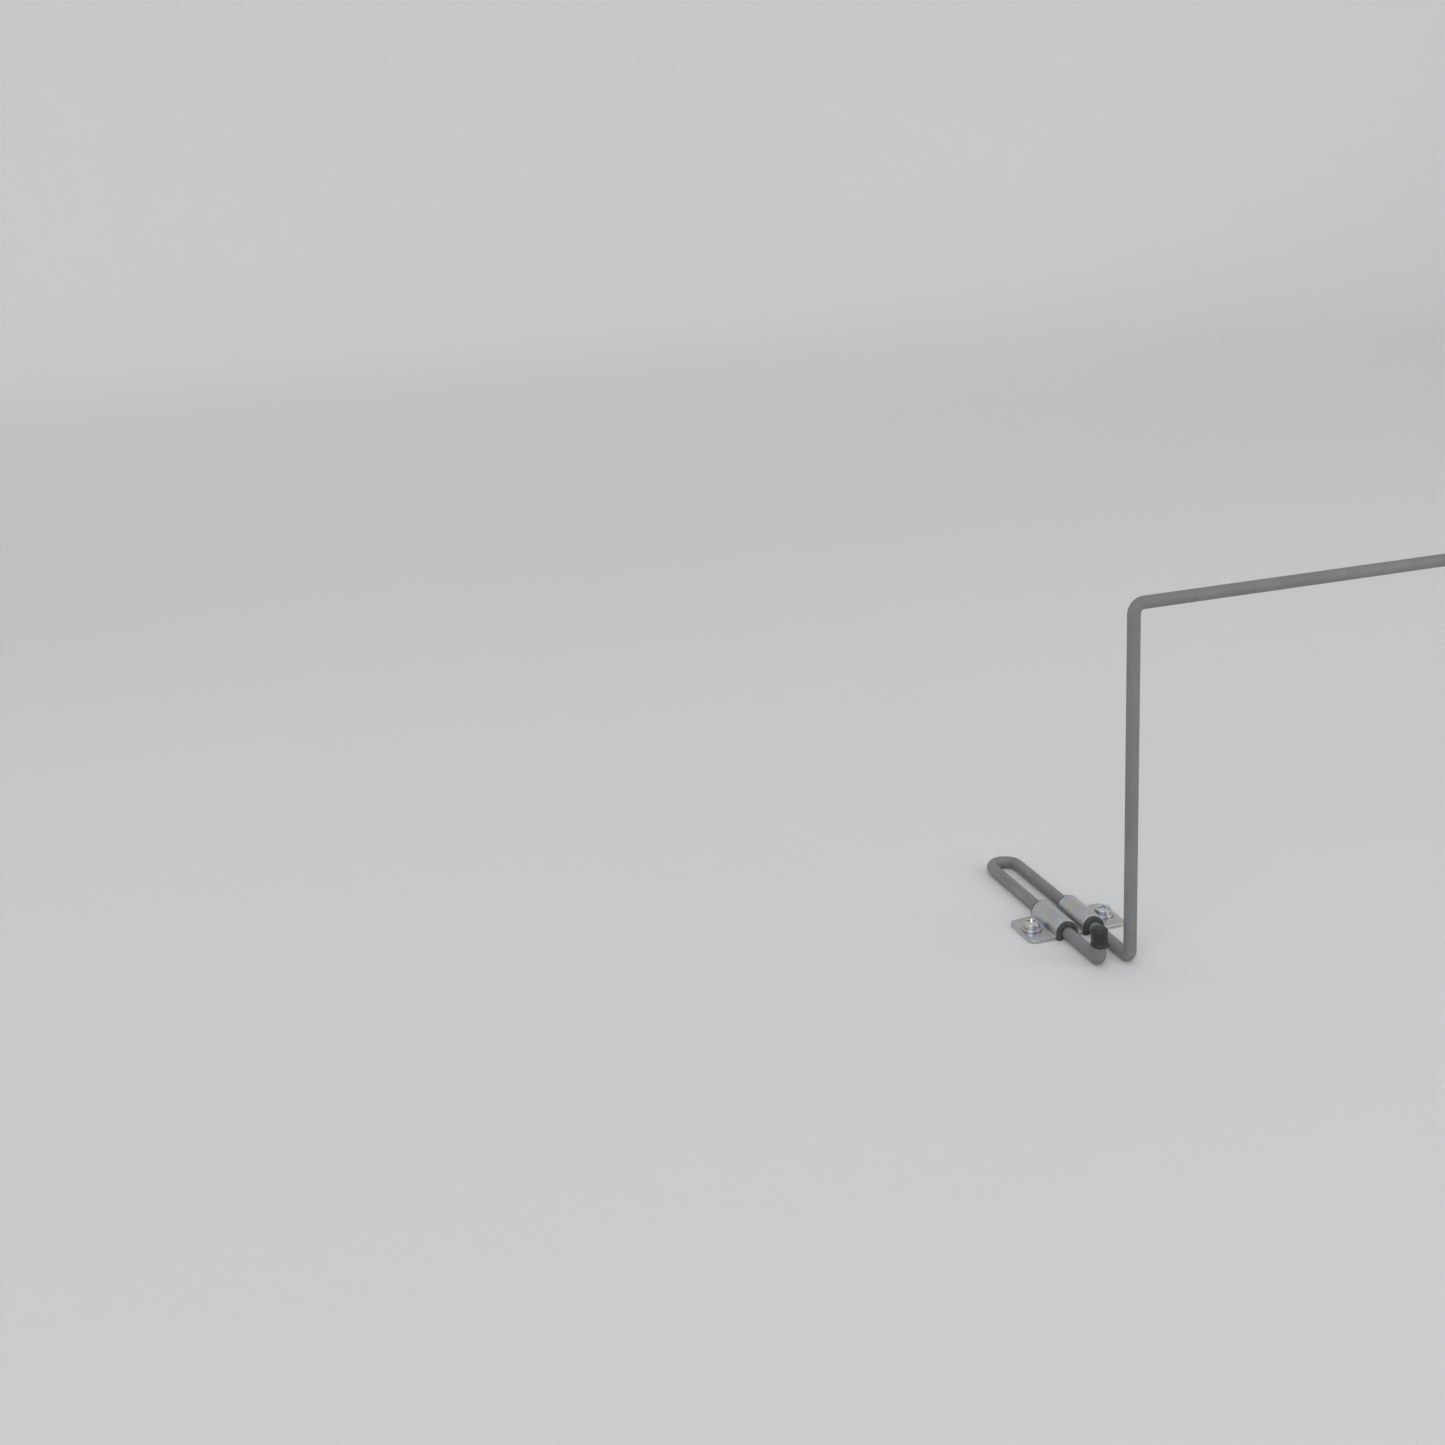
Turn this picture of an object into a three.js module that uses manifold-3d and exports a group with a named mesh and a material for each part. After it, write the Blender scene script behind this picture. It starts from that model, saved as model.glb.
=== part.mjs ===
// Mattress retaining rail for the foot end of an adjustable bed, in millimetres.
//
// One bent steel rod makes a low hoop in front of the mattress. Its feet run back under the
// mattress as two hairpins that lie on the bed's foot rail. A twin saddle clip, screwed to the
// rail, straddles each hairpin, and the rod slides fore and aft through the clips' liners.
//
// X runs along the rail, +Y towards the head of the bed, +Z up. Z = 0 is the top face of the
// bed's foot rail, and Y = 0 is the line of the clips' screws, midway between the two clips.

import * as THREE from 'three';
import { mergeVertices } from 'three/addons/utils/BufferGeometryUtils.js';
import Module from 'manifold-3d';

const wasm = await Module();
wasm.setup();

// ---- Driving dimensions -------------------------------------------------------------------

const ROD_RADIUS = 3;
const BAR_BEND_RADIUS = 5; // centre line of the bends between the bar and the uprights
const FOOT_BEND_RADIUS = 3.5; // centre line of the tighter bends down at the bed rail
const FOOT_SPREAD = 350; // between the uprights' centre lines where they meet the feet
const UPRIGHT_LEAN = THREE.MathUtils.degToRad(1.27); // each upright leans inwards
const BAR_HEIGHT = 171; // centre line of the top bar above the bed rail
const UPRIGHT_Y = -45; // uprights in front of the clips' screw line
const FOOT_LENGTH = 120; // from an upright's centre line back to the hairpin's outer edge
const HAIRPIN_SPACING = 14.2; // between the centre lines of a hairpin's two legs
const TIP_SETBACK = 2.5; // upturned tips stand this far behind the uprights
const TIP_TOP = 17; // cut end of the rod

const GAP = 0.3; // left between pieces that touch

const LINER_THICKNESS = 0.8;
const LINER_LIP_RADIUS = 5.4;
const LINER_LIP_LENGTH = 1.2;
const SHEET = 1.6; // clip's steel sheet
const CLIP_LENGTH = 24; // along Y
const CLIP_WIDTH = 52; // across both flanges
const CLIP_CORNER_RADIUS = 4;
const SCREW_OFFSET = 19.5; // screw axis from the clip's middle

const SHANK_RADIUS = 2;
const SCREW_LENGTH = 16; // under the head
const SCREW_POINT = 5;
const HEAD_RADIUS = 4;
const HEAD_HEIGHT = 2.6;
const RECESS_WIDTH = 0.9;
const RECESS_SPAN = 4.2;
const RECESS_DEPTH = 1.5;
const WASHER_RADIUS = 5;
const WASHER_THICKNESS = 1;

const CAP_GRIP = 6.5; // length of rod inside a cap
const CAP_WALL = 0.9;
const CAP_ROOF = 2;
const CAP_EDGE_RADIUS = 1.4;

// ---- Values that follow from them ---------------------------------------------------------

const FOOT_Z = ROD_RADIUS;
const INNER_LEG_X = FOOT_SPREAD / 2;
const OUTER_LEG_X = INNER_LEG_X + HAIRPIN_SPACING;
const CLIP_X = (INNER_LEG_X + OUTER_LEG_X) / 2;
const HAIRPIN_Y = UPRIGHT_Y + FOOT_LENGTH - ROD_RADIUS;
const TIP_Y = UPRIGHT_Y + TIP_SETBACK;
const CAP_SKIRT_Z = TIP_TOP - CAP_GRIP;
const BAR_END_X = INNER_LEG_X - (BAR_HEIGHT - FOOT_Z) * Math.tan(UPRIGHT_LEAN);

const LINER_BORE = ROD_RADIUS + GAP;
const LINER_RADIUS = LINER_BORE + LINER_THICKNESS;
const SADDLE_BORE = LINER_RADIUS + GAP;
const SADDLE_RADIUS = SADDLE_BORE + SHEET;
const HOLE_RADIUS = SHANK_RADIUS + GAP;
const WASHER_Z = SHEET + GAP;
const HEAD_Z = WASHER_Z + WASHER_THICKNESS + GAP;

// ---- Facets -------------------------------------------------------------------------------

const ROD_SIDES = 20;
const BEND_STEPS = 8;
const ROUND_SEGMENTS = 24;
const SADDLE_SEGMENTS = 12;
const CORNER_SEGMENTS = 4;

// ---- Materials ----------------------------------------------------------------------------

const standard = (color, roughness, metalness) =>
  new THREE.MeshStandardMaterial({ color, roughness, metalness });

const powderCoat = () => standard(0x8f9093, 0.55, 0.0);
const zincPlate = () => standard(0xb9bcc0, 0.35, 1.0);
const blackPlastic = () => standard(0x232426, 0.6, 0.0);
const greyNylon = () => standard(0x4a4c50, 0.5, 0.0);

// ---- Solid helpers ------------------------------------------------------------------------

// A closed geometry as a solid that can be joined and cut.
function toSolid(geometry) {
  const bare = geometry.index ? geometry.toNonIndexed() : geometry.clone();
  bare.deleteAttribute('normal');
  bare.deleteAttribute('uv');
  const merged = mergeVertices(bare, 1e-4);
  return new wasm.Manifold(new wasm.Mesh({
    numProp: 3,
    vertProperties: new Float32Array(merged.attributes.position.array),
    triVerts: new Uint32Array(merged.index.array),
  }));
}

function toGeometry(solid) {
  const { numProp, vertProperties, triVerts } = solid.getMesh();
  const geometry = new THREE.BufferGeometry();
  const positions = new Float32Array((vertProperties.length / numProp) * 3);
  for (let i = 0; i < positions.length / 3; i += 1) {
    positions.set(vertProperties.subarray(i * numProp, i * numProp + 3), i * 3);
  }
  geometry.setAttribute('position', new THREE.BufferAttribute(positions, 3));
  geometry.setIndex(new THREE.BufferAttribute(new Uint32Array(triVerts), 1));
  geometry.computeVertexNormals();
  return geometry;
}

// A shape drawn in X and Z, extruded along Y and centred on Y = middle.
function extrudeAlongY(shape, length, middle = 0) {
  const geometry = new THREE.ExtrudeGeometry(shape, {
    depth: length,
    bevelEnabled: false,
    curveSegments: SADDLE_SEGMENTS,
  });
  return geometry.rotateX(Math.PI / 2).translate(0, middle + length / 2, 0);
}

// A profile of [radius, height] points turned about the Z axis.
function turned(profile) {
  const points = profile.map(([radius, height]) => new THREE.Vector2(radius, height));
  return new THREE.LatheGeometry(points, ROUND_SEGMENTS).rotateX(Math.PI / 2);
}

// Points of a quarter round of a turned edge, from the side up to the face above it.
function roundedEdge(radius, height, edge) {
  return Array.from({ length: CORNER_SEGMENTS + 1 }, (_, i) => {
    const angle = (i / CORNER_SEGMENTS) * (Math.PI / 2);
    return [radius - edge + edge * Math.cos(angle), height - edge + edge * Math.sin(angle)];
  });
}

// ---- The bent rod -------------------------------------------------------------------------

// A rod's centre line: straight runs between corners, each corner rounded to its own radius.
// It is only asked for at its stations: both ends of each straight, and the steps of each bend.
class BentCentreLine extends THREE.Curve {
  constructor(corners) {
    super();
    const last = corners.length - 1;
    const heading = (i) => corners[i + 1].at.clone().sub(corners[i].at).normalize();
    this.stations = [{ point: corners[0].at, tangent: heading(0) }];
    for (let i = 1; i < last; i += 1) {
      this.addBend(corners[i], heading(i - 1), heading(i));
    }
    this.stations.push({ point: corners[last].at, tangent: heading(last - 1) });
  }

  addBend({ at, radius }, before, after) {
    const turn = before.angleTo(after);
    const start = at.clone().addScaledVector(before, -radius * Math.tan(turn / 2));
    const inwards = after.clone().addScaledVector(before, -after.dot(before)).normalize();
    const meetsLastBend = start.distanceTo(this.stations.at(-1).point) < 1e-6;
    for (let step = meetsLastBend ? 1 : 0; step <= BEND_STEPS; step += 1) {
      const angle = (turn * step) / BEND_STEPS;
      this.stations.push({
        point: start.clone()
          .addScaledVector(before, radius * Math.sin(angle))
          .addScaledVector(inwards, radius * (1 - Math.cos(angle))),
        tangent: before.clone().multiplyScalar(Math.cos(angle))
          .addScaledVector(inwards, Math.sin(angle)),
      });
    }
  }

  get steps() {
    return this.stations.length - 1;
  }

  getUtoTmapping(u) {
    return u;
  }

  getPoint(t, target = new THREE.Vector3()) {
    return target.copy(this.stations[Math.round(t * this.steps)].point);
  }

  getTangent(t, target = new THREE.Vector3()) {
    return target.copy(this.stations[Math.round(t * this.steps)].tangent);
  }
}

// Corners from one upturned tip round its hairpin and up its upright to the bar's end.
function halfRodCorners(side) {
  const corner = (x, y, z, radius) => ({ at: new THREE.Vector3(side * x, y, z), radius });
  const turn = HAIRPIN_SPACING / 2;
  return [
    corner(OUTER_LEG_X, TIP_Y, TIP_TOP),
    corner(OUTER_LEG_X, TIP_Y, FOOT_Z, FOOT_BEND_RADIUS),
    corner(OUTER_LEG_X, HAIRPIN_Y, FOOT_Z, turn),
    corner(INNER_LEG_X, HAIRPIN_Y, FOOT_Z, turn),
    corner(INNER_LEG_X, UPRIGHT_Y, FOOT_Z, FOOT_BEND_RADIUS),
    corner(BAR_END_X, UPRIGHT_Y, BAR_HEIGHT, BAR_BEND_RADIUS),
  ];
}

function railRod() {
  const centreLine = new BentCentreLine([...halfRodCorners(-1), ...halfRodCorners(1).reverse()]);
  const section = Array.from({ length: ROD_SIDES }, (_, i) => {
    const angle = (i / ROD_SIDES) * 2 * Math.PI;
    return new THREE.Vector2(ROD_RADIUS * Math.cos(angle), ROD_RADIUS * Math.sin(angle));
  });
  return new THREE.ExtrudeGeometry(new THREE.Shape(section), {
    steps: centreLine.steps,
    extrudePath: centreLine,
  });
}

// A plastic cap pushed over the rod's cut end, with a blind bore and a rounded top.
function tipCap() {
  const bore = ROD_RADIUS + GAP;
  const boreDepth = CAP_GRIP + GAP;
  const height = boreDepth + CAP_ROOF;
  const radius = bore + CAP_WALL;
  return turned([
    [0, boreDepth],
    [bore, boreDepth],
    [bore, 0],
    [radius, 0],
    ...roundedEdge(radius, height, CAP_EDGE_RADIUS),
    [0, height],
  ]);
}

// ---- The clips ----------------------------------------------------------------------------

// An arch over one leg: two walls from Z = 0 up to the leg's axis, and a half round above it.
function archOutline(bore, radius) {
  const shape = new THREE.Shape();
  shape.moveTo(-radius, 0);
  shape.lineTo(-bore, 0);
  shape.lineTo(-bore, FOOT_Z);
  shape.absarc(0, FOOT_Z, bore, Math.PI, 0, true);
  shape.lineTo(bore, 0);
  shape.lineTo(radius, 0);
  shape.lineTo(radius, FOOT_Z);
  shape.absarc(0, FOOT_Z, radius, 0, Math.PI, false);
  shape.closePath();
  return shape;
}

// The clip's pressed section: flange, arch, web on the bed rail, arch and flange.
function saddleOutline() {
  const leg = HAIRPIN_SPACING / 2;
  const edge = CLIP_WIDTH / 2;
  const shape = new THREE.Shape();
  shape.moveTo(-edge, 0);
  for (const x of [-leg, leg]) {
    shape.lineTo(x - SADDLE_BORE, 0);
    shape.lineTo(x - SADDLE_BORE, FOOT_Z);
    shape.absarc(x, FOOT_Z, SADDLE_BORE, Math.PI, 0, true);
    shape.lineTo(x + SADDLE_BORE, 0);
  }
  shape.lineTo(edge, 0);
  shape.lineTo(edge, SHEET);
  for (const x of [leg, -leg]) {
    shape.lineTo(x + SADDLE_RADIUS, SHEET);
    shape.lineTo(x + SADDLE_RADIUS, FOOT_Z);
    shape.absarc(x, FOOT_Z, SADDLE_RADIUS, 0, Math.PI, false);
    shape.lineTo(x - SADDLE_RADIUS, SHEET);
  }
  shape.lineTo(-edge, SHEET);
  shape.closePath();
  return shape;
}

// The clip seen from above: a rectangle with rounded corners, taller than the pressed section.
function clipBlank() {
  const [x, y, r] = [CLIP_WIDTH / 2, CLIP_LENGTH / 2, CLIP_CORNER_RADIUS];
  const shape = new THREE.Shape();
  shape.absarc(x - r, y - r, r, 0, Math.PI / 2, false);
  shape.absarc(-x + r, y - r, r, Math.PI / 2, Math.PI, false);
  shape.absarc(-x + r, -y + r, r, Math.PI, 1.5 * Math.PI, false);
  shape.absarc(x - r, -y + r, r, 1.5 * Math.PI, 2 * Math.PI, false);
  const height = FOOT_Z + SADDLE_RADIUS + 2;
  const geometry = new THREE.ExtrudeGeometry(shape, {
    depth: height,
    bevelEnabled: false,
    curveSegments: CORNER_SEGMENTS,
  });
  return toSolid(geometry.translate(0, 0, -1));
}

function saddleClip() {
  const screwHole = (x) => {
    const cutter = new THREE.CylinderGeometry(HOLE_RADIUS, HOLE_RADIUS, 3 * SHEET, ROUND_SEGMENTS);
    return toSolid(cutter.rotateX(Math.PI / 2).translate(x, 0, SHEET / 2));
  };
  return toGeometry(
    toSolid(extrudeAlongY(saddleOutline(), CLIP_LENGTH + 2))
      .intersect(clipBlank())
      .subtract(screwHole(-SCREW_OFFSET))
      .subtract(screwHole(SCREW_OFFSET)),
  );
}

// A plastic liner over one leg, with a lip in front of the clip and one behind it.
function legLiner() {
  const lipY = CLIP_LENGTH / 2 + GAP + LINER_LIP_LENGTH / 2;
  const sleeveLength = 2 * lipY + LINER_LIP_LENGTH;
  const lip = (y) => {
    const outline = archOutline(LINER_BORE, LINER_LIP_RADIUS);
    return toSolid(extrudeAlongY(outline, LINER_LIP_LENGTH, y));
  };
  return toGeometry(
    toSolid(extrudeAlongY(archOutline(LINER_BORE, LINER_RADIUS), sleeveLength))
      .add(lip(-lipY))
      .add(lip(lipY)),
  );
}

// A pan-head wood screw, its head's underside at Z = 0 and its point down.
function woodScrew() {
  const body = turned([
    [0, -SCREW_LENGTH],
    [SHANK_RADIUS, SCREW_POINT - SCREW_LENGTH],
    [SHANK_RADIUS, 0],
    [HEAD_RADIUS, 0],
    ...roundedEdge(HEAD_RADIUS, HEAD_HEIGHT, HEAD_HEIGHT * 0.6),
    [0, HEAD_HEIGHT],
  ]);
  const slot = (width, length) => {
    const cutter = new THREE.BoxGeometry(width, length, 2 * RECESS_DEPTH);
    return toSolid(cutter.translate(0, 0, HEAD_HEIGHT));
  };
  return toGeometry(
    toSolid(body)
      .subtract(slot(RECESS_WIDTH, RECESS_SPAN))
      .subtract(slot(RECESS_SPAN, RECESS_WIDTH)),
  );
}

function washer() {
  return turned([
    [HOLE_RADIUS, 0],
    [WASHER_RADIUS, 0],
    [WASHER_RADIUS, WASHER_THICKNESS],
    [HOLE_RADIUS, WASHER_THICKNESS],
    [HOLE_RADIUS, 0],
  ]);
}

// ---- Assembly -----------------------------------------------------------------------------

function piece(name, geometry, material, x = 0, y = 0, z = 0) {
  const mesh = new THREE.Mesh(geometry, material);
  mesh.name = name;
  mesh.position.set(x, y, z);
  return mesh;
}

// The rod and its two caps: everything that slides.
function slidingHoop() {
  const hoop = new THREE.Group();
  hoop.add(piece('rail_rod', railRod(), powderCoat()));
  for (const [name, side] of [['left', -1], ['right', 1]]) {
    const x = side * OUTER_LEG_X;
    hoop.add(piece(`tip_cap_${name}`, tipCap(), blackPlastic(), x, TIP_Y, CAP_SKIRT_Z));
  }
  return hoop;
}

// One clip with its liners and fasteners, about the clip's middle. inwards is the direction
// along X from the clip to the middle of the rail.
function clipSet(name, inwards) {
  const set = new THREE.Group();
  set.add(piece(`saddle_clip_${name}`, saddleClip(), zincPlate()));
  for (const [place, side] of [['inner', inwards], ['outer', -inwards]]) {
    const label = `${name}_${place}`;
    const legX = side * HAIRPIN_SPACING / 2;
    const screwX = side * SCREW_OFFSET;
    set.add(piece(`leg_liner_${label}`, legLiner(), greyNylon(), legX));
    set.add(piece(`washer_${label}`, washer(), zincPlate(), screwX, 0, WASHER_Z));
    set.add(piece(`screw_${label}`, woodScrew(), zincPlate(), screwX, 0, HEAD_Z));
  }
  set.position.x = -inwards * CLIP_X;
  return set;
}

const retainingRail = new THREE.Group();
retainingRail.add(slidingHoop(), clipSet('left', 1), clipSet('right', -1));

export default retainingRail;
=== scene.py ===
# Looks of the mattress retaining rail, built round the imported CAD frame.
#
# Every visible piece replaces its CAD node with a finer mesh at the same place and size:
# the bent rod, its tip caps, the saddle clips, their liners, the washers and the screws.
# Lengths are metres, +Y is towards the head of the bed and Z = 0 is the bed rail's top face.

import math

import bmesh
import bpy
from mathutils import Matrix, Vector


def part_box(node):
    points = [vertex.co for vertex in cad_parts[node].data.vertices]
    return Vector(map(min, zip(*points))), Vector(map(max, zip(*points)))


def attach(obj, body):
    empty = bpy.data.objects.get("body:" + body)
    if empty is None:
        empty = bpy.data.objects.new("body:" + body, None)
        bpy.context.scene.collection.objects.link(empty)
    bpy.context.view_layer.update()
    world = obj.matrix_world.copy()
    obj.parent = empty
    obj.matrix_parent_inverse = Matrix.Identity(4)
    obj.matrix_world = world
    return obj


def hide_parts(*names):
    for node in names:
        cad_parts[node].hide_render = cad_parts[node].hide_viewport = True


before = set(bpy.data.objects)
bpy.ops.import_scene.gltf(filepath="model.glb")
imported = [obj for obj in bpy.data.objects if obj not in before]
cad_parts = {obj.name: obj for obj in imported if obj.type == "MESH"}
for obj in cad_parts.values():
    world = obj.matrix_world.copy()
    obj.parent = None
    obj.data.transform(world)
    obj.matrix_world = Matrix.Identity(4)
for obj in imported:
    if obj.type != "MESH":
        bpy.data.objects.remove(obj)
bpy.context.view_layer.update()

MM = 0.001
SIDES = ("left", "right")
PLACES = ("inner", "outer")

# ---- Sizes that the CAD boxes don't hold ---------------------------------------------------

ROD_RADIUS = 3.0 * MM
BAR_BEND_RADIUS = 5.0 * MM
FOOT_BEND_RADIUS = 3.5 * MM
UPRIGHT_LEAN = math.radians(1.27)
SHEET = 1.6 * MM
WASHER_TOP = 2.9 * MM  # the washer fills the room between the clip's flange and the head
HOLE_RADIUS = 2.3 * MM
SHANK_RADIUS = 2.0 * MM
SLIDING_FIT = 0.03 * MM  # between the rod and a liner or cap
SHUT_GAP = 0.02 * MM  # between parts that touch
CAP_ROOF = 2.0 * MM  # thickness of a cap's top
CAP_ROOM = 0.3 * MM  # between the rod's cut end and the cap's roof
SAME_PLACE = 1e-7  # metres; two points nearer than this are one

# Degrees by which the driver left each screw's recess turned.
DRIVEN = {
    ("left", "inner"): 12,
    ("left", "outer"): 61,
    ("right", "inner"): 35,
    ("right", "outer"): 78,
}


def middle(node):
    low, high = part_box(node)
    return (low + high) / 2


# ---- Mesh building -------------------------------------------------------------------------


def mesh_piece(name, vertices, faces):
    mesh = bpy.data.meshes.new(name)
    mesh.from_pydata([tuple(v) for v in vertices], [], faces)
    mesh.validate()
    piece = bpy.data.objects.new(name, mesh)
    bpy.context.scene.collection.objects.link(piece)
    tidy_normals(piece)
    return piece


def tidy_normals(piece, sharp=35):
    """Faces point outwards, and only edges that turn by more than `sharp` degrees show."""
    solid = bmesh.new()
    solid.from_mesh(piece.data)
    bmesh.ops.remove_doubles(solid, verts=solid.verts, dist=SAME_PLACE)
    bmesh.ops.dissolve_degenerate(solid, edges=solid.edges, dist=SAME_PLACE)
    bmesh.ops.recalc_face_normals(solid, faces=solid.faces)
    solid.to_mesh(piece.data)
    solid.free()
    piece.data.polygons.foreach_set("use_smooth", [True] * len(piece.data.polygons))
    piece.data.set_sharp_from_angle(angle=math.radians(sharp))


def apply_modifiers(piece):
    bpy.context.view_layer.update()
    evaluated = piece.evaluated_get(bpy.context.evaluated_depsgraph_get())
    finished = bpy.data.meshes.new_from_object(evaluated)
    piece.modifiers.clear()
    piece.data = finished


def cut(piece, cutter, operation="DIFFERENCE"):
    boolean = piece.modifiers.new(operation.lower(), "BOOLEAN")
    boolean.operation = operation
    boolean.solver = "EXACT"
    boolean.object = cutter
    apply_modifiers(piece)
    bpy.data.objects.remove(cutter)


def round_edges(piece, width):
    """Rounds every edge that turns by more than 40 degrees."""
    bevel = piece.modifiers.new("edges", "BEVEL")
    bevel.width = width
    bevel.segments = 3
    bevel.limit_method = "ANGLE"
    bevel.angle_limit = math.radians(40)
    bevel.use_clamp_overlap = True
    apply_modifiers(piece)
    tidy_normals(piece, sharp=50)


def filleted(corners, steps, closed=False):
    """Stations along straight runs, with each (point, radius) corner rounded. A station is its
    point, its heading, the direction of its bend's centre and its depth in the bend, 0 to 1."""
    count = len(corners)
    points = [Vector(point) for point, _ in corners]
    track = []
    for i, (_, radius) in enumerate(corners):
        if not closed and i in (0, count - 1):
            near = points[1] - points[0] if i == 0 else points[-1] - points[-2]
            track.append((points[i], near.normalized(), Vector((0, 0, 0)), 0.0))
            continue
        before = (points[i] - points[i - 1]).normalized()
        after = (points[(i + 1) % count] - points[i]).normalized()
        turn = before.angle(after)
        start = points[i] - before * radius * math.tan(turn / 2)
        inwards = (after - before * after.dot(before)).normalized()
        for step in range(steps + 1 if radius else 1):
            angle = turn * step / steps
            spot = start + before * radius * math.sin(angle)
            spot += inwards * radius * (1 - math.cos(angle))
            heading = before * math.cos(angle) + inwards * math.sin(angle)
            centre_ward = inwards * math.cos(angle) - before * math.sin(angle)
            track.append((spot, heading, centre_ward, math.sin(math.pi * step / steps)))
    return track


def turned(name, profile, centre, segments=64, ridge=None):
    """A closed solid turned about a vertical axis. profile runs from the axis to the axis, or
    round a ring, as (radius, height) pairs; ridge adds to the radius by height and angle."""
    ring_shaped = profile[0][0] > 0
    vertices, loops = [], []
    for radius, height in profile:
        around = 1 if radius == 0 else segments
        loops.append([len(vertices) + i for i in range(around)])
        for i in range(around):
            angle = 2 * math.pi * i / segments
            reach = radius + (ridge(height, angle) if ridge and radius else 0)
            x = centre[0] + reach * math.cos(angle)
            y = centre[1] + reach * math.sin(angle)
            vertices.append(Vector((x, y, height)))
    pairs = list(zip(loops, loops[1:]))
    if ring_shaped:
        pairs.append((loops[-1], loops[0]))
    faces = []
    for low, high in pairs:
        for i in range(segments):
            j = (i + 1) % segments
            corners = [low[i % len(low)], low[j % len(low)]]
            corners += [high[j % len(high)], high[i % len(high)]]
            faces.append(list(dict.fromkeys(corners)))
    return mesh_piece(name, vertices, faces)


def rounded_profile(corners):
    """A turned profile whose (radius, height, fillet) corners are rounded."""
    points = [(Vector((r, 0, h)), fillet) for r, h, fillet in corners]
    track = filleted(points, steps=6)
    return [(max(spot.x, 0), spot.z) for spot, *_ in track]


def ring_profile(corners):
    """The same for a ring, whose profile closes on itself."""
    points = [(Vector((r, 0, h)), fillet) for r, h, fillet in corners]
    track = filleted(points, steps=4, closed=True)
    return [(spot.x, spot.z) for spot, *_ in track]


def extruded(name, outline, y_low, y_high):
    """A closed outline of (x, z) points, extruded along Y."""
    count = len(outline)
    vertices = [Vector((x, y, z)) for y in (y_low, y_high) for x, z in outline]
    faces = [[i, (i + 1) % count, count + (i + 1) % count, count + i] for i in range(count)]
    faces += [list(range(count)), list(range(2 * count - 1, count - 1, -1))]
    return mesh_piece(name, vertices, faces)


# ---- Materials -----------------------------------------------------------------------------


class Paint:
    """A procedural material under construction, in the piece's own coordinates."""

    def __init__(self, name, **constants):
        self.material = bpy.data.materials.new(name)
        self.material.use_nodes = True
        self.nodes = self.material.node_tree.nodes
        self.links = self.material.node_tree.links
        self.shader = self.nodes["Principled BSDF"]
        for socket, value in constants.items():
            self.shader.inputs[socket.replace("_", " ")].default_value = value
        self.place = self.nodes.new("ShaderNodeTexCoord").outputs["Object"]

    def feed(self, socket, value):
        if hasattr(value, "is_output"):
            self.links.new(value, socket)
        else:
            socket.default_value = value

    def noise(self, scale, detail=3.0, roughness=0.55, stretch=(1, 1, 1), distortion=0.0):
        mapping = self.nodes.new("ShaderNodeMapping")
        mapping.inputs["Scale"].default_value = stretch
        self.links.new(self.place, mapping.inputs["Vector"])
        texture = self.nodes.new("ShaderNodeTexNoise")
        texture.inputs["Scale"].default_value = scale
        texture.inputs["Detail"].default_value = detail
        texture.inputs["Roughness"].default_value = roughness
        texture.inputs["Distortion"].default_value = distortion
        self.links.new(mapping.outputs["Vector"], texture.inputs["Vector"])
        return texture.outputs["Fac"]

    def ramp(self, value, low, high, to_low=0.0, to_high=1.0):
        node = self.nodes.new("ShaderNodeMapRange")
        node.interpolation_type = "SMOOTHSTEP"
        limits = {"From Min": low, "From Max": high, "To Min": to_low, "To Max": to_high}
        for name, number in limits.items():
            node.inputs[name].default_value = number
        self.links.new(value, node.inputs["Value"])
        return node.outputs["Result"]

    def math(self, operation, a, b):
        node = self.nodes.new("ShaderNodeMath")
        node.operation = operation
        self.feed(node.inputs[0], a)
        self.feed(node.inputs[1], b)
        return node.outputs["Value"]

    def mix(self, share, a, b):
        node = self.nodes.new("ShaderNodeMix")
        node.data_type = "RGBA"
        self.feed(node.inputs["Factor"], share)
        self.feed(node.inputs["A"], a)
        self.feed(node.inputs["B"], b)
        return node.outputs["Result"]

    def axis(self, letter):
        node = self.nodes.new("ShaderNodeSeparateXYZ")
        self.links.new(self.place, node.inputs["Vector"])
        return node.outputs[letter]

    def facing(self, letter):
        """The surface normal's part along an axis of the piece."""
        normal = self.nodes.new("ShaderNodeTexCoord").outputs["Normal"]
        node = self.nodes.new("ShaderNodeSeparateXYZ")
        self.links.new(normal, node.inputs["Vector"])
        return node.outputs[letter]

    def set(self, socket, value):
        self.feed(self.shader.inputs[socket], value)

    def bump(self, *layers):
        """Each layer is (height 0 to 1, depth in metres)."""
        last = None
        for height, depth in layers:
            node = self.nodes.new("ShaderNodeBump")
            node.inputs["Distance"].default_value = depth
            self.links.new(height, node.inputs["Height"])
            if last:
                self.links.new(last, node.inputs["Normal"])
            last = node.outputs["Normal"]
        self.links.new(last, self.shader.inputs["Normal"])


def grey(level, tint=(1.0, 1.0, 1.0)):
    return (level * tint[0], level * tint[1], level * tint[2], 1.0)


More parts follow.
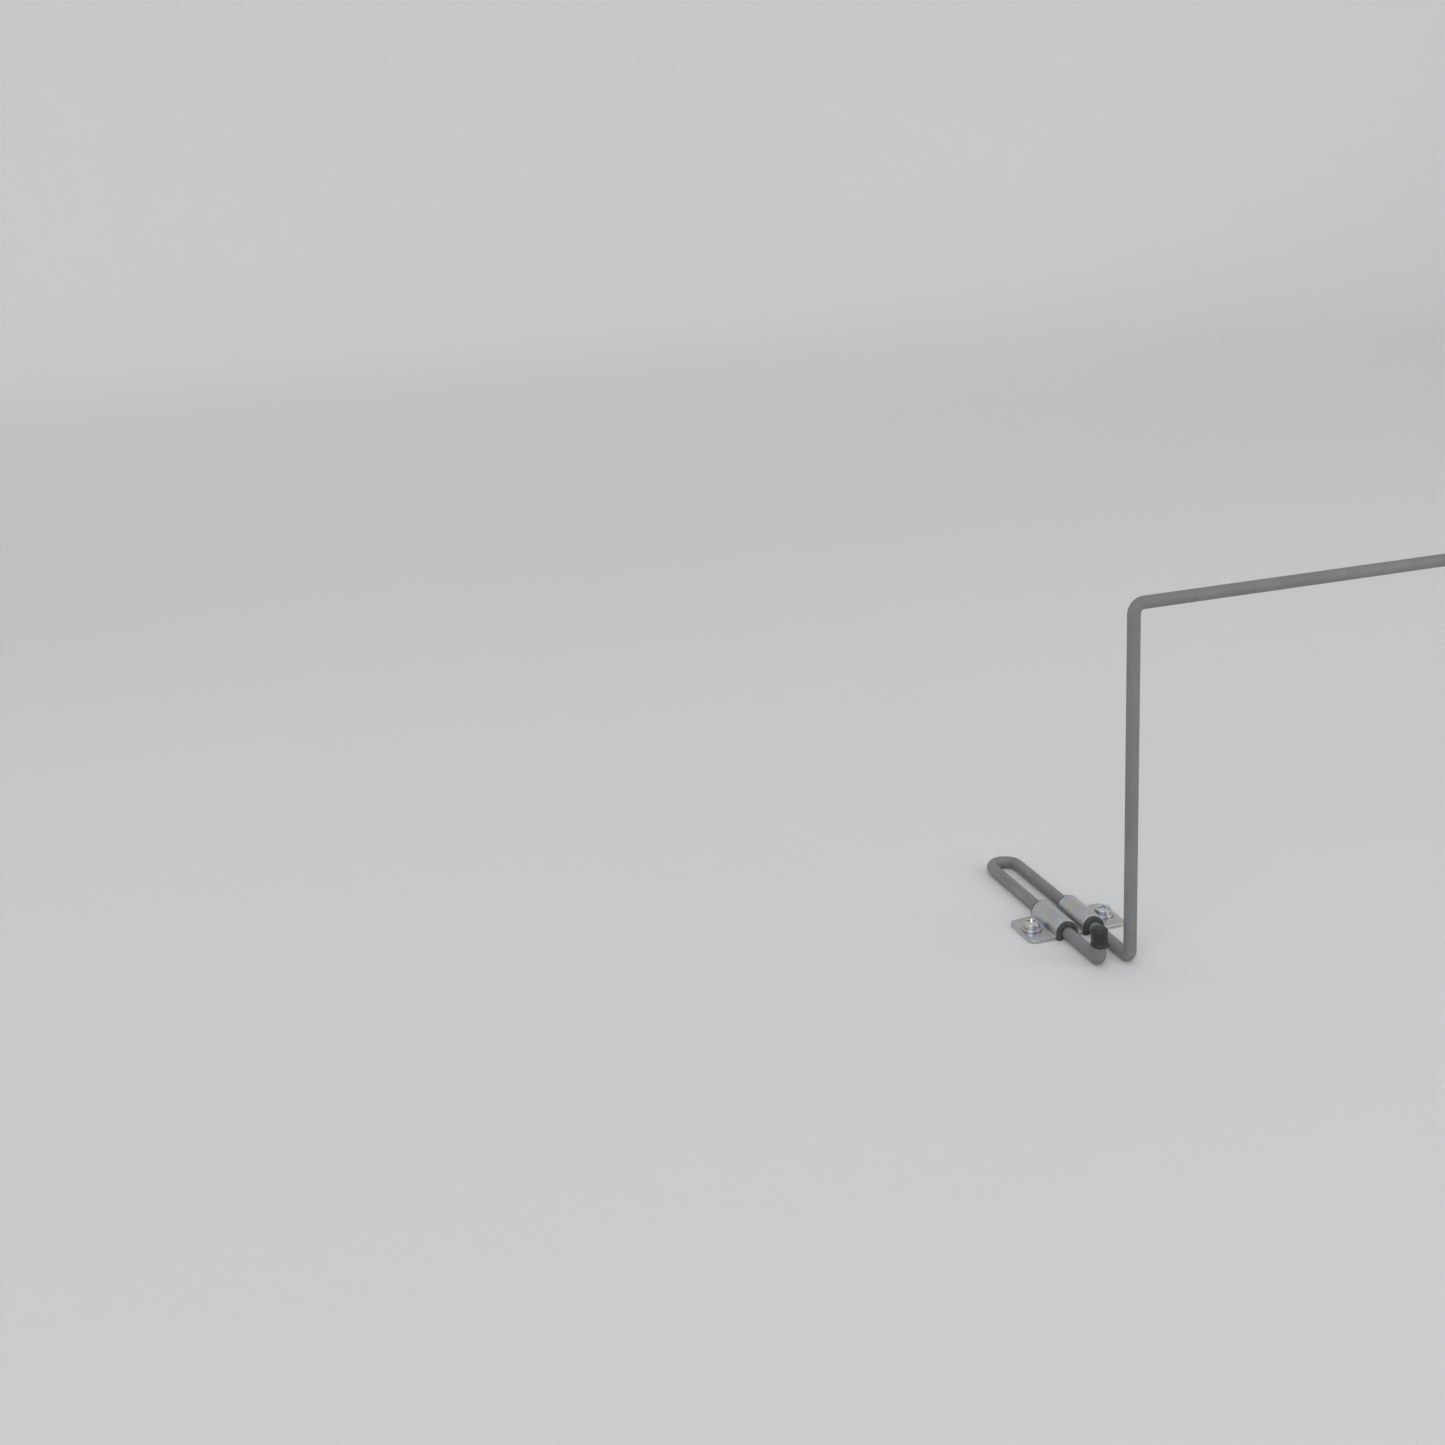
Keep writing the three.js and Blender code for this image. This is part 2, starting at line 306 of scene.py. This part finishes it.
def powder_coat():
    """Satin-matt grey powder coat: orange peel, faint clouding, rubbed where the feet slide."""
    paint = Paint("powder_coat", Metallic=0.0, IOR=1.46)
    cool = (0.985, 0.99, 1.02)
    clouds = paint.noise(55.0, 4.0)
    grain = paint.noise(2600.0, 3.0, 0.6)
    tone = paint.mix(paint.ramp(clouds, 0.35, 0.65), grey(0.198, cool), grey(0.224, cool))
    tone = paint.mix(paint.ramp(grain, 0.52, 0.7, 0.0, 0.22), tone, grey(0.29, cool))
    tone = paint.mix(paint.ramp(grain, 0.46, 0.3, 0.0, 0.22), tone, grey(0.14, cool))

    # Rubbing: long scratches on the feet, where they pass through the liners and lie on wood.
    feet = paint.ramp(paint.axis("Z"), 7.0 * MM, 5.0 * MM)
    run = paint.ramp(paint.axis("Y"), -42.0 * MM, -20.0 * MM)
    streaks = paint.ramp(paint.noise(900.0, 3.0, 0.6, stretch=(1.0, 0.06, 1.0)), 0.5, 0.66)
    rubbed = paint.math("MULTIPLY", paint.math("MULTIPLY", feet, run), streaks)
    tone = paint.mix(paint.math("MULTIPLY", rubbed, 0.5), tone, grey(0.29))
    paint.set("Base Color", tone)
    matt = paint.ramp(paint.noise(300.0, 3.0), 0.3, 0.7, 0.42, 0.54)
    paint.set("Roughness", paint.math("SUBTRACT", matt, paint.math("MULTIPLY", rubbed, 0.16)))
    orange_peel = paint.noise(750.0, 2.0, 0.5)
    paint.bump((orange_peel, 0.16 * MM), (grain, 0.06 * MM))
    return paint.material


def zinc_plate(name="zinc_plate", stretch=(0.05, 1.0, 1.0), level=0.56):
    """Bright zinc on pressed steel: rolling lines, faint blue and straw clouds, dull handling."""
    paint = Paint(name, Metallic=1.0)
    clouds = paint.noise(130.0, 4.0, distortion=0.6)
    blue = grey(level, (0.95, 0.99, 1.06))
    straw = grey(level, (1.05, 1.01, 0.93))
    tone = paint.mix(paint.ramp(clouds, 0.4, 0.62), blue, straw)
    bloom = paint.ramp(paint.noise(420.0, 5.0, 0.65), 0.56, 0.72)
    tone = paint.mix(paint.math("MULTIPLY", bloom, 0.45), tone, grey(0.42))
    paint.set("Base Color", tone)
    lines = paint.noise(2400.0, 3.0, 0.6, stretch=stretch)
    dull = paint.ramp(lines, 0.3, 0.7, 0.27, 0.4)
    paint.set("Roughness", paint.math("ADD", dull, paint.math("MULTIPLY", bloom, 0.18)))
    paint.bump((lines, 0.012 * MM), (paint.noise(700.0, 3.0), 0.02 * MM))
    return paint.material


def moulded_nylon():
    """Dark grey moulded nylon with a fine spark-eroded skin."""
    paint = Paint("moulded_nylon", Metallic=0.0, IOR=1.53)
    clouds = paint.ramp(paint.noise(160.0, 3.0), 0.35, 0.65)
    paint.set("Base Color", paint.mix(clouds, grey(0.048), grey(0.066)))
    paint.set("Roughness", paint.ramp(paint.noise(500.0, 2.0), 0.3, 0.7, 0.42, 0.55))
    paint.bump((paint.noise(3600.0, 3.0, 0.6), 0.02 * MM))
    return paint.material


def dipped_vinyl():
    """Soft black vinyl: satin, with a few dull scuffs on top where the mattress presses."""
    paint = Paint("dipped_vinyl", Metallic=0.0, IOR=1.5)
    scuffs = paint.ramp(paint.noise(620.0, 5.0, 0.65, distortion=0.5), 0.52, 0.66)
    upwards = paint.ramp(paint.facing("Z"), 0.1, 0.8)
    worn = paint.math("MULTIPLY", scuffs, upwards)
    paint.set("Base Color", paint.mix(paint.math("MULTIPLY", worn, 0.6), grey(0.018), grey(0.06)))
    paint.set("Roughness", paint.ramp(worn, 0.0, 1.0, 0.38, 0.62))
    paint.bump((paint.noise(1500.0, 3.0), 0.02 * MM))
    return paint.material


def pale_floor():
    """Pale matt paint with painted light and painted shade: lighter at the back and darker in
    front, which evens out the lamps' light.
    """
    paint = Paint("pale_floor", Roughness=0.85)
    middle_tone = paint.mix(paint.noise(1.3, 3.0), grey(0.76), grey(0.78))
    # Painted light towards the back, where the lamps reach the floor less, and painted shade
    # towards the front, under the key and fill.
    painted_light_back = paint.ramp(paint.axis("Y"), 0.8, 4.2)
    painted_shade_front = paint.ramp(paint.axis("Y"), -0.8, -4.2)
    tone = paint.mix(painted_light_back, middle_tone, grey(0.95))
    paint.set("Base Color", paint.mix(painted_shade_front, tone, grey(0.68)))
    return paint.material


COAT = powder_coat()
SHEET_ZINC = zinc_plate()
TURNED_ZINC = zinc_plate("turned_zinc", (1.0, 1.0, 0.3), 0.6)
NYLON = moulded_nylon()
VINYL = dipped_vinyl()


def finish_piece(piece, material, body, slot, *nodes):
    piece.data.materials.clear()
    piece.data.materials.append(material)
    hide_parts(*nodes)
    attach(piece, body)


# ---- The hoop ------------------------------------------------------------------------------


def half_rod_corners(side):
    """Corners from one upturned tip round its hairpin and up its upright to the bar's end."""
    sign = -1 if side == "left" else 1
    low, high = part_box("rail_rod")
    inner = middle(f"leg_liner_{side}_inner").x
    outer = middle(f"leg_liner_{side}_outer").x
    foot = ROD_RADIUS
    bar = high.z - ROD_RADIUS
    front = low.y + ROD_RADIUS
    back = high.y - ROD_RADIUS
    tip = middle(f"tip_cap_{side}").y
    tip_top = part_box(f"tip_cap_{side}")[1].z - CAP_ROOF - CAP_ROOM
    bar_end = inner - sign * (bar - foot) * math.tan(UPRIGHT_LEAN)
    turn = abs(outer - inner) / 2
    return [
        ((outer, tip, tip_top), 0),
        ((outer, tip, foot), FOOT_BEND_RADIUS),
        ((outer, back, foot), turn),
        ((inner, back, foot), turn),
        ((inner, front, foot), FOOT_BEND_RADIUS),
        ((bar_end, front, bar), BAR_BEND_RADIUS),
    ]


def bent_rod():
    """The rod, swept along its centre line. A bend's section is a little flattened, as a rod
    bent cold over a small former is."""
    sides, bend_steps, straight_step = 40, 20, 8 * MM
    flattening, chamfer = 0.05, 0.5 * MM
    track = filleted([*half_rod_corners("left"), *half_rod_corners("right")[::-1]], bend_steps)

    stations = []
    for i, (spot, heading, inwards, bend) in enumerate(track):
        if stations:
            gap = spot - stations[-1][0]
            if gap.length < SAME_PLACE:
                continue
            pieces = math.ceil(gap.length / straight_step)
            start = stations[-1][0]
            for k in range(1, pieces):
                stations.append((start + gap * k / pieces, heading, Vector((0, 0, 0)), 0.0, 1.0))
        stations.append((spot, heading, inwards, bend, 1.0))

    # Each cut end is chamfered. The far end goes first, because a shoulder lengthens the list.
    for end, step in ((len(stations) - 1, -1), (0, 1)):
        spot, heading, inwards, bend, _ = stations[end]
        shoulder = (spot + heading * step * chamfer, heading, inwards, bend, 1.0)
        stations[end] = (spot, heading, inwards, bend, 1 - chamfer / ROD_RADIUS)
        stations.insert(max(end, 1), shoulder)

    across = stations[0][1].orthogonal().normalized()
    heading_before = stations[0][1]
    vertices = []
    for spot, heading, inwards, bend, scale in stations:
        across.rotate(heading_before.rotation_difference(heading))
        heading_before = heading
        beside = heading.cross(across).normalized()
        for i in range(sides):
            angle = 2 * math.pi * i / sides
            arm = (across * math.cos(angle) + beside * math.sin(angle)) * ROD_RADIUS * scale
            arm -= inwards * arm.dot(inwards) * flattening * bend
            vertices.append(spot + arm)
    faces = []
    for row in range(len(stations) - 1):
        for i in range(sides):
            j = (i + 1) % sides
            a, b = row * sides, (row + 1) * sides
            faces.append([a + i, a + j, b + j, b + i])
    last = (len(stations) - 1) * sides
    faces += [list(range(sides))[::-1], [last + i for i in range(sides)]]
    rod = mesh_piece("hoop_rod", vertices, faces)
    finish_piece(rod, COAT, "hoop", "rod_coating", "rail_rod")


def tip_cap(side):
    """A dipped vinyl cap with a rounded top and a rolled rim at its open end."""
    node = f"tip_cap_{side}"
    low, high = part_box(node)
    centre = middle(node)
    radius = (high.x - low.x) / 2
    bore = ROD_RADIUS + SLIDING_FIT
    roof = high.z - CAP_ROOF
    rim, waist = 1.1 * MM, 0.35 * MM
    profile = rounded_profile([
        (0, roof, 0),
        (bore, roof, 0.3 * MM),
        (bore, low.z, 0.15 * MM),
        (radius, low.z, 0.35 * MM),
        (radius, low.z + rim, 0.3 * MM),
        (radius - waist, low.z + rim + 0.5 * MM, 0.4 * MM),
        (radius - waist, high.z, 1.5 * MM),
        (0, high.z, 0),
    ])
    cap = turned(f"cap_{side}", profile, centre)
    finish_piece(cap, VINYL, "hoop", "cap_plastic", node)


# ---- The clips -----------------------------------------------------------------------------


def saddle_outline(side, legs, half_width):
    """The pressed section: flange, arch, web, arch and flange, with its bends rounded."""
    centre = sum(legs) / 2
    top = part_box(f"saddle_clip_{side}")[1].z
    outer = top - ROD_RADIUS
    inner = outer - SHEET
    inside_bend, outside_bend = 0.7 * MM, 1.1 * MM
    bottom, upper = [], []
    for x in legs:
        bottom += [(x - inner, 0, outside_bend), (x - inner, ROD_RADIUS + inner, inner)]
        bottom += [(x + inner, ROD_RADIUS + inner, inner), (x + inner, 0, outside_bend)]
    for x in reversed(legs):
        upper += [(x + outer, SHEET, inside_bend), (x + outer, top, outer)]
        upper += [(x - outer, top, outer), (x - outer, SHEET, inside_bend)]
    left, right = centre - half_width, centre + half_width
    corners = [(left, 0, 0), *bottom, (right, 0, 0), (right, SHEET, 0), *upper, (left, SHEET, 0)]
    track = filleted([(Vector((x, 0, z)), r) for x, z, r in corners], steps=12, closed=True)
    outline = [(spot.x, spot.z) for spot, *_ in track]
    return [p for i, p in enumerate(outline) if math.dist(p, outline[i - 1]) > SAME_PLACE]


def clip_blank(low, high, radius):
    """The clip's outline from above, as a tall block with rounded corners."""
    corners = [(low.x, low.y), (high.x, low.y), (high.x, high.y), (low.x, high.y)]
    track = filleted([(Vector((x, y, 0)), radius) for x, y in corners], steps=10, closed=True)
    count = len(track)
    spare = 1 * MM
    levels = (-spare, high.z + spare)
    vertices = [spot + Vector((0, 0, z)) for z in levels for spot, *_ in track]
    faces = [[i, (i + 1) % count, count + (i + 1) % count, count + i] for i in range(count)]
    faces += [list(range(count))[::-1], list(range(count, 2 * count))]
    return mesh_piece("cutter", vertices, faces)


def saddle_clip(side):
    node = f"saddle_clip_{side}"
    low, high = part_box(node)
    legs = sorted(middle(f"leg_liner_{side}_{place}").x for place in PLACES)
    overhang, corner_radius, edge_radius = 1 * MM, 4 * MM, 0.28 * MM
    outline = saddle_outline(side, legs, (high.x - low.x) / 2 + overhang)
    clip = extruded(f"clip_{side}", outline, low.y - overhang, high.y + overhang)
    cut(clip, clip_blank(low, high, corner_radius), "INTERSECT")
    drill_low, drill_high = -SHEET, 2 * SHEET
    drill = [(0, drill_low), (HOLE_RADIUS, drill_low), (HOLE_RADIUS, drill_high), (0, drill_high)]
    for place in PLACES:
        cut(clip, turned("cutter", drill, middle(f"screw_{side}_{place}")))
    round_edges(clip, edge_radius)
    finish_piece(clip, SHEET_ZINC, "clips", "clip_zinc", node)


def arch_loop(x, bore, radius):
    """The closed outline of an arch over one leg, always with the same number of points."""
    steps = 20

    def half_round(reach, start, end):
        angles = [start + (end - start) * i / steps for i in range(steps + 1)]
        return [(x + reach * math.cos(a), ROD_RADIUS + reach * math.sin(a)) for a in angles]

    inside = [(x - bore, 0), *half_round(bore, math.pi, 0), (x + bore, 0)]
    outside = [(x + radius, 0), *half_round(radius, 0, math.pi), (x - radius, 0)]
    return inside + outside


def leg_liner(side, place):
    """A nylon arch that fills the room between leg and saddle, with a lip at each end."""
    node = f"leg_liner_{side}_{place}"
    low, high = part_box(node)
    x = middle(node).x
    clip_low, clip_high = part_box(f"saddle_clip_{side}")
    bore = ROD_RADIUS + SLIDING_FIT
    sleeve = clip_high.z - ROD_RADIUS - SHEET - SHUT_GAP
    lip = (high.x - low.x) / 2
    edge, steps = 0.3 * MM, 4
    lip_front = low.y
    lip_back = clip_low.y - SHUT_GAP
    rows = []
    for i in range(steps + 1):
        angle = math.pi / 2 * i / steps
        rows.append((lip_front + edge * (1 - math.sin(angle)), lip - edge * (1 - math.cos(angle))))
    rows = sorted(rows) + [(lip_back, lip), (lip_back, sleeve)]
    rows += [(-y, radius) for y, radius in reversed(rows)]
    loops = [arch_loop(x, bore, radius) for _, radius in rows]
    count = len(loops[0])
    vertices = [Vector((px, y, pz)) for (y, _), loop in zip(rows, loops) for px, pz in loop]
    faces = []
    for row in range(len(rows) - 1):
        a, b = row * count, (row + 1) * count
        faces += [[a + i, a + (i + 1) % count, b + (i + 1) % count, b + i] for i in range(count)]
    for end in (0, (len(rows) - 1) * count):
        for i in range(count // 2 - 1):
            faces.append([end + i, end + i + 1, end + count - 2 - i, end + count - 1 - i])
    liner = mesh_piece(f"liner_{side}_{place}", vertices, faces)
    finish_piece(liner, NYLON, "clips", "liner_nylon", node)


def washer(side, place):
    node = f"washer_{side}_{place}"
    low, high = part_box(node)
    radius = (high.x - low.x) / 2
    bottom = SHEET + SHUT_GAP
    profile = ring_profile([
        (HOLE_RADIUS, bottom, 0.1 * MM),
        (radius, bottom, 0.15 * MM),
        (radius, WASHER_TOP, 0.35 * MM),
        (HOLE_RADIUS, WASHER_TOP, 0.2 * MM),
    ])
    piece = turned(f"washer_piece_{side}_{place}", profile, middle(node))
    finish_piece(piece, TURNED_ZINC, "clips", "washer_zinc", node)


def recess_cutter(centre, top, turn):
    """A cross recess that tapers to a blunt point, turned as the driver left it."""
    span, width, depth, foot = 2.2 * MM, 0.5 * MM, 1.9 * MM, 0.75 * MM
    above = 0.6 * MM
    cross = [(span, -width), (span, width), (width, width), (width, span)]
    cross += [(-width, span), (-width, width), (-span, width), (-span, -width)]
    cross += [(-width, -width), (-width, -span), (width, -span), (width, -width)]

    def level(z, reach):
        ring = []
        for x, y in cross:
            x = math.copysign(min(abs(x), reach), x)
            y = math.copysign(min(abs(y), reach), y)
            ring.append(Vector((x, y, z)))
        return ring

    vertices = level(top - depth, foot) + level(top, span) + level(top + above, span)
    count = len(cross)
    faces = [list(range(count))[::-1], [2 * count + i for i in range(count)]]
    for row in (0, 1):
        a, b = row * count, (row + 1) * count
        faces += [[a + i, a + (i + 1) % count, b + (i + 1) % count, b + i] for i in range(count)]
    spin = Matrix.Rotation(turn, 3, "Z")
    place = Vector((centre.x, centre.y, 0))
    return mesh_piece("cutter", [place + spin @ v for v in vertices], faces)


def wood_screw(side, place, turn):
    """A pan-head wood screw with a cross recess and a thread that fades out at both ends."""
    node = f"screw_{side}_{place}"
    low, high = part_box(node)
    centre = middle(node)
    head = (high.x - low.x) / 2
    under = WASHER_TOP + SHUT_GAP
    pitch, depth, rows_per_turn = 1.8 * MM, 0.55 * MM, 12
    core = SHANK_RADIUS - depth
    point = 5.0 * MM
    thread_top, plain = under - 3.2 * MM, under - 2.4 * MM
    crest_half_width = 0.28  # as a share of the pitch
    point_thread = 0.12  # the thread's height at the very point, as a share of the whole

    def ridge(height, angle):
        if height > thread_top or height < low.z:
            return 0.0
        phase = ((height - low.z) / pitch - angle / (2 * math.pi)) % 1.0
        crest = max(0.0, 1 - abs(phase - 0.5) / crest_half_width)
        fade_top = min(1.0, (thread_top - height) / pitch)
        fade_tip = min(1.0, (height - low.z) / point + point_thread)
        return depth * crest * fade_top * fade_tip

    rows = math.ceil((thread_top - low.z) / pitch * rows_per_turn)
    shank = []
    for i in range(1, rows + 1):
        height = low.z + (thread_top - low.z) * i / rows
        taper = min(1.0, (height - low.z) / point)
        shank.append((core * math.sqrt(taper), height))
    dome = rounded_profile([
        (SHANK_RADIUS, plain, 0),
        (SHANK_RADIUS, under, 0.2 * MM),
        (head, under, 0.12 * MM),
        (head, high.z - 0.9 * MM, 0.5 * MM),
        (head - 1.3 * MM, high.z, 1.0 * MM),
        (0, high.z, 0),
    ])
    profile = [(0, low.z), *shank, *dome]
    screw = turned(f"screw_piece_{side}_{place}", profile, centre, segments=48, ridge=ridge)
    cut(screw, recess_cutter(centre, high.z, turn))
    tidy_normals(screw, sharp=40)
    finish_piece(screw, TURNED_ZINC, "clips", "screw_zinc", node)


# ---- Stage, lights and camera --------------------------------------------------------------


def backdrop():
    """A pale bowl: a flat floor that sweeps up into a wall on every side."""
    flat, sweep, wall = 3.2, 1.8, 3.6
    drop = 0.05 * MM  # keeps the floor off the clips' undersides
    steps = 24
    curve = [math.pi / 2 * i / steps for i in range(steps + 1)]
    profile = [(0, -drop)]
    profile += [(flat + sweep * math.sin(a), sweep * (1 - math.cos(a)) - drop) for a in curve]
    profile.append((flat + sweep, wall))
    bowl = turned("backdrop", profile, (0, 0), segments=96)
    bowl.data.materials.append(pale_floor())


def soft_light(name, place, aim, size, power):
    light = bpy.data.lights.new(name, "AREA")
    light.shape = "RECTANGLE"
    light.size, light.size_y = size
    light.energy = power
    lamp = bpy.data.objects.new(name, light)
    bpy.context.scene.collection.objects.link(lamp)
    lamp.location = place
    lamp.rotation_mode = "QUATERNION"
    lamp.rotation_quaternion = (Vector(aim) - Vector(place)).to_track_quat("-Z", "Y")


def studio():
    world = bpy.data.worlds.new("studio")
    bpy.context.scene.world = world
    world.use_nodes = True
    background = world.node_tree.nodes["Background"]
    background.inputs["Color"].default_value = (0.96, 0.98, 1.0, 1.0)
    background.inputs["Strength"].default_value = 0.4
    aim = (0.0, 0.0, 0.05)
    soft_light("key", (-2.2, -2.6, 2.2), aim, (2.6, 2.6), 45)
    soft_light("fill", (2.4, -2.3, 1.5), aim, (2.2, 2.0), 27)
    soft_light("overhead", (0.0, 0.3, 3.4), (0.0, 0.3, 0.0), (6.0, 6.0), 34)
    bpy.context.scene.view_settings.view_transform = "Standard"


def camera():
    """The photograph's view: from the front left, a little above, with the bar running off
    the right-hand edge."""
    place = (-0.5193, -0.613, 0.3451)
    heading, dip, roll = math.radians(15.884), math.radians(10.52), math.radians(-3.389)
    lens = bpy.data.cameras.new("camera")
    lens.lens = 37.3
    lens.sensor_width = 36.0
    lens.shift_y = -0.15
    lens.clip_start = 0.01
    lens.clip_end = 100.0
    view = bpy.data.objects.new("camera", lens)
    bpy.context.scene.collection.objects.link(view)
    turn = Matrix.Rotation(-heading, 4, "Z") @ Matrix.Rotation(math.pi / 2 - dip, 4, "X")
    turn = turn @ Matrix.Rotation(roll, 4, "Z")
    view.matrix_world = Matrix.Translation(place) @ turn
    bpy.context.scene.camera = view


camera()
bent_rod()
for side in SIDES:
    tip_cap(side)
    saddle_clip(side)
    for place in PLACES:
        leg_liner(side, place)
        washer(side, place)
        wood_screw(side, place, math.radians(DRIVEN[side, place]))
backdrop()
studio()
